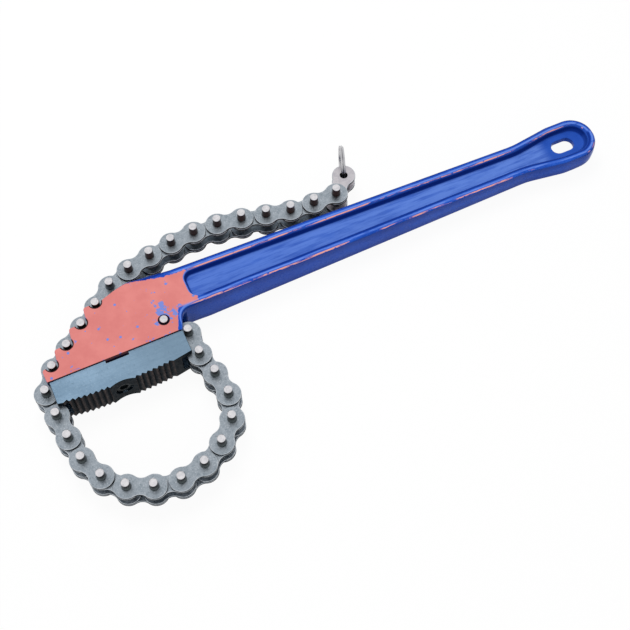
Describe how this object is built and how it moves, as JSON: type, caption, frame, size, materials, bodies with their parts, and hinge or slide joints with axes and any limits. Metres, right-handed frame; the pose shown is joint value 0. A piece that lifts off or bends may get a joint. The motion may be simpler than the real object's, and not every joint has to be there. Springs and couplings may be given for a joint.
{
  "type": "chain wrench",
  "caption": "Chain pipe wrench: forged handle with a notched head, bolted toothed jaw, and a bush chain with long pins that hook into the notches.",
  "frame": {"origin": "middle of the jaw's gripping face, where the pipe seats, on the tool's mid-plane", "axes": "+X along the handle away from the jaw, -Y towards the pipe, +Z across the tool's thickness, up as it lies"},
  "size_m": [0.3953, 0.1806, 0.0276],
  "materials": {
    "forging": "gloss blue paint, ground head faces coated coral red",
    "jaw_steel": "satin, blued",
    "screw_steel": "black oxide",
    "pin_steel": "ground",
    "chain_steel": "satin, oiled",
    "ring_steel": "bright"
  },
  "bodies": {
    "root": {"handle": "forging", "jaw": "jaw_steel", "jaw_screw": "screw_steel", "anchor_pin": "pin_steel"},
    "link_00": {"inner_link_00": "chain_steel"},
    "link_01": {"outer_plates_01": "chain_steel", "pins_01": "pin_steel"},
    "link_02": {"inner_link_02": "chain_steel"},
    "link_03": {"outer_plates_03": "chain_steel", "pins_03": "pin_steel"},
    "link_04": {"inner_link_04": "chain_steel"},
    "link_05": {"outer_plates_05": "chain_steel", "pins_05": "pin_steel"},
    "link_06": {"inner_link_06": "chain_steel"},
    "link_07": {"outer_plates_07": "chain_steel", "pins_07": "pin_steel"},
    "link_08": {"inner_link_08": "chain_steel"},
    "link_09": {"outer_plates_09": "chain_steel", "pins_09": "pin_steel"},
    "link_10": {"inner_link_10": "chain_steel"},
    "link_11": {"outer_plates_11": "chain_steel", "pins_11": "pin_steel"},
    "link_12": {"inner_link_12": "chain_steel"},
    "link_13": {"outer_plates_13": "chain_steel", "pins_13": "pin_steel"},
    "link_14": {"inner_link_14": "chain_steel"},
    "link_15": {"outer_plates_15": "chain_steel", "pins_15": "pin_steel"},
    "link_16": {"inner_link_16": "chain_steel"},
    "link_17": {"outer_plates_17": "chain_steel", "pins_17": "pin_steel"},
    "link_18": {"inner_link_18": "chain_steel"},
    "link_19": {"outer_plates_19": "chain_steel", "pins_19": "pin_steel"},
    "link_20": {"inner_link_20": "chain_steel"},
    "link_21": {"outer_plates_21": "chain_steel", "pins_21": "pin_steel"},
    "link_22": {"inner_link_22": "chain_steel"},
    "link_23": {"outer_plates_23": "chain_steel", "pins_23": "pin_steel"},
    "link_24": {"inner_link_24": "chain_steel"},
    "link_25": {"outer_plates_25": "chain_steel", "pins_25": "pin_steel"},
    "link_26": {"inner_link_26": "chain_steel"},
    "link_27": {"outer_plates_27": "chain_steel", "pins_27": "pin_steel"},
    "link_28": {"inner_link_28": "chain_steel"},
    "link_29": {"outer_plates_29": "chain_steel", "pins_29": "pin_steel"},
    "link_30": {"inner_link_30": "chain_steel"},
    "ring": {"ring": "ring_steel"}
  },
  "joints": [
    {"name": "pivot_00", "type": "hinge", "parent": "root", "child": "link_00", "pos_m": [0.0342, 0.0275, 0], "axis": [0, 0, 1], "range_deg": [0, 15]},
    {"name": "pivot_01", "type": "hinge", "parent": "link_00", "child": "link_01", "pos_m": [0.04514, 0.016, 0], "axis": [0, 0, 1], "range_deg": [-14.7, 0]},
    {"name": "pivot_02", "type": "hinge", "parent": "link_01", "child": "link_02", "pos_m": [0.04591, 0.00014, 0], "axis": [0, 0, 1], "range_deg": [-12, 12]},
    {"name": "pivot_03", "type": "hinge", "parent": "link_02", "child": "link_03", "pos_m": [0.04969, -0.01528, 0], "axis": [0, 0, 1], "range_deg": [-12.2, 12.2]},
    {"name": "pivot_04", "type": "hinge", "parent": "link_03", "child": "link_04", "pos_m": [0.05183, -0.03101, 0], "axis": [0, 0, 1], "range_deg": [-13.1, 2.6]},
    {"name": "pivot_05", "type": "hinge", "parent": "link_04", "child": "link_05", "pos_m": [0.04766, -0.04633, 0], "axis": [0, 0, 1], "range_deg": [-2.5, 12.5]},
    {"name": "pivot_06", "type": "hinge", "parent": "link_05", "child": "link_06", "pos_m": [0.03659, -0.0577, 0], "axis": [0, 0, 1], "range_deg": [-3.4, 3.4]},
    {"name": "pivot_07", "type": "hinge", "parent": "link_06", "child": "link_07", "pos_m": [0.02281, -0.06558, 0], "axis": [0, 0, 1], "range_deg": [-10, 10]},
    {"name": "notch_pivot", "type": "hinge", "parent": "root", "child": "link_15", "pos_m": [-0.03714, 0.02655, 0], "axis": [0, 0, 1], "range_deg": [-12, 2]},
    {"name": "pivot_15", "type": "hinge", "parent": "link_15", "child": "link_14", "pos_m": [-0.04594, 0.01334, 0], "axis": [0, 0, 1], "range_deg": [-2.4, 11.9]},
    {"name": "pivot_14", "type": "hinge", "parent": "link_14", "child": "link_13", "pos_m": [-0.04488, -0.0025, 0], "axis": [0, 0, 1], "range_deg": [-12.3, 12.3]},
    {"name": "pivot_13", "type": "hinge", "parent": "link_13", "child": "link_12", "pos_m": [-0.04326, -0.01829, 0], "axis": [0, 0, 1], "range_deg": [-12, 12]},
    {"name": "pivot_12", "type": "hinge", "parent": "link_12", "child": "link_11", "pos_m": [-0.04055, -0.03394, 0], "axis": [0, 0, 1], "range_deg": [0, 15.9]},
    {"name": "pivot_11", "type": "hinge", "parent": "link_11", "child": "link_10", "pos_m": [-0.03388, -0.04834, 0], "axis": [0, 0, 1], "range_deg": [-15.2, 0]},
    {"name": "pivot_10", "type": "hinge", "parent": "link_10", "child": "link_09", "pos_m": [-0.02289, -0.05979, 0], "axis": [0, 0, 1], "range_deg": [-3.4, 3.4]},
    {"name": "pivot_09", "type": "hinge", "parent": "link_09", "child": "link_08", "pos_m": [-0.00841, -0.06629, 0], "axis": [0, 0, 1], "range_deg": [-10.6, 10.6]},
    {"name": "pivot_16", "type": "hinge", "parent": "root", "child": "link_16", "pos_m": [-0.03714, 0.02655, 0], "axis": [0, 0, 1], "range_deg": [0, 40]},
    {"name": "pivot_17", "type": "hinge", "parent": "link_16", "child": "link_17", "pos_m": [-0.02463, 0.03632, 0], "axis": [0, 0, -1], "range_deg": [-40, 0]},
    {"name": "pivot_18", "type": "hinge", "parent": "link_17", "child": "link_18", "pos_m": [-0.01212, 0.0461, 0], "axis": [0, 0, 1], "range_deg": [0, 40]},
    {"name": "pivot_19", "type": "hinge", "parent": "link_18", "child": "link_19", "pos_m": [0.00039, 0.05587, 0], "axis": [0, 0, -1], "range_deg": [-40, 0]},
    {"name": "pivot_20", "type": "hinge", "parent": "link_19", "child": "link_20", "pos_m": [0.0129, 0.06564, 0], "axis": [0, 0, 1], "range_deg": [0, 40]},
    {"name": "pivot_21", "type": "hinge", "parent": "link_20", "child": "link_21", "pos_m": [0.0274, 0.0721, 0], "axis": [0, 0, -1], "range_deg": [-40, 1.5]},
    {"name": "pivot_22", "type": "hinge", "parent": "link_21", "child": "link_22", "pos_m": [0.0428, 0.07594, 0], "axis": [0, 0, 1], "range_deg": [-1.5, 40]},
    {"name": "pivot_23", "type": "hinge", "parent": "link_22", "child": "link_23", "pos_m": [0.05839, 0.07897, 0], "axis": [0, 0, -1], "range_deg": [-40, 2]},
    {"name": "pivot_24", "type": "hinge", "parent": "link_23", "child": "link_24", "pos_m": [0.07418, 0.08063, 0], "axis": [0, 0, 1], "range_deg": [-2.5, 40]},
    {"name": "pivot_25", "type": "hinge", "parent": "link_24", "child": "link_25", "pos_m": [0.09004, 0.08008, 0], "axis": [0, 0, -1], "range_deg": [-40, 3]},
    {"name": "pivot_26", "type": "hinge", "parent": "link_25", "child": "link_26", "pos_m": [0.10572, 0.07759, 0], "axis": [0, 0, 1], "range_deg": [-4, 40]},
    {"name": "pivot_27", "type": "hinge", "parent": "link_26", "child": "link_27", "pos_m": [0.12112, 0.07375, 0], "axis": [0, 0, -1], "range_deg": [-40, 5.5]},
    {"name": "pivot_28", "type": "hinge", "parent": "link_27", "child": "link_28", "pos_m": [0.13659, 0.07018, 0], "axis": [0, 0, 1], "range_deg": [-8, 40]},
    {"name": "pivot_29", "type": "hinge", "parent": "link_28", "child": "link_29", "pos_m": [0.15243, 0.06907, 0], "axis": [0, 0, -1], "range_deg": [-40, 16.5]},
    {"name": "pivot_30", "type": "hinge", "parent": "link_29", "child": "link_30", "pos_m": [0.16829, 0.06963, 0], "axis": [0, 0, 1], "range_deg": [-40, 40]},
    {"name": "ring_swing", "type": "hinge", "parent": "link_30", "child": "ring", "pos_m": [0.17912, 0.08124, 0], "axis": [0, 0, 1], "range_deg": [-95, 50]}
  ],
  "couplings": [
    {"joint": "pivot_01", "follows": "pivot_00", "ratio": -0.94838},
    {"joint": "pivot_11", "follows": "pivot_00", "ratio": -0.97738},
    {"joint": "pivot_12", "follows": "pivot_00", "ratio": 1.029},
    {"joint": "pivot_03", "follows": "pivot_02", "ratio": -0.97638},
    {"joint": "pivot_13", "follows": "pivot_02", "ratio": -0.95721},
    {"joint": "pivot_14", "follows": "pivot_02", "ratio": 0.98083},
    {"joint": "pivot_04", "follows": "notch_pivot", "ratio": 1.0471},
    {"joint": "pivot_05", "follows": "notch_pivot", "ratio": -0.99972},
    {"joint": "pivot_15", "follows": "notch_pivot", "ratio": -0.95264},
    {"joint": "pivot_06", "follows": "pivot_07", "ratio": -0.28709},
    {"joint": "pivot_09", "follows": "pivot_07", "ratio": -1.0069},
    {"joint": "pivot_10", "follows": "pivot_07", "ratio": 0.28709}
  ]
}
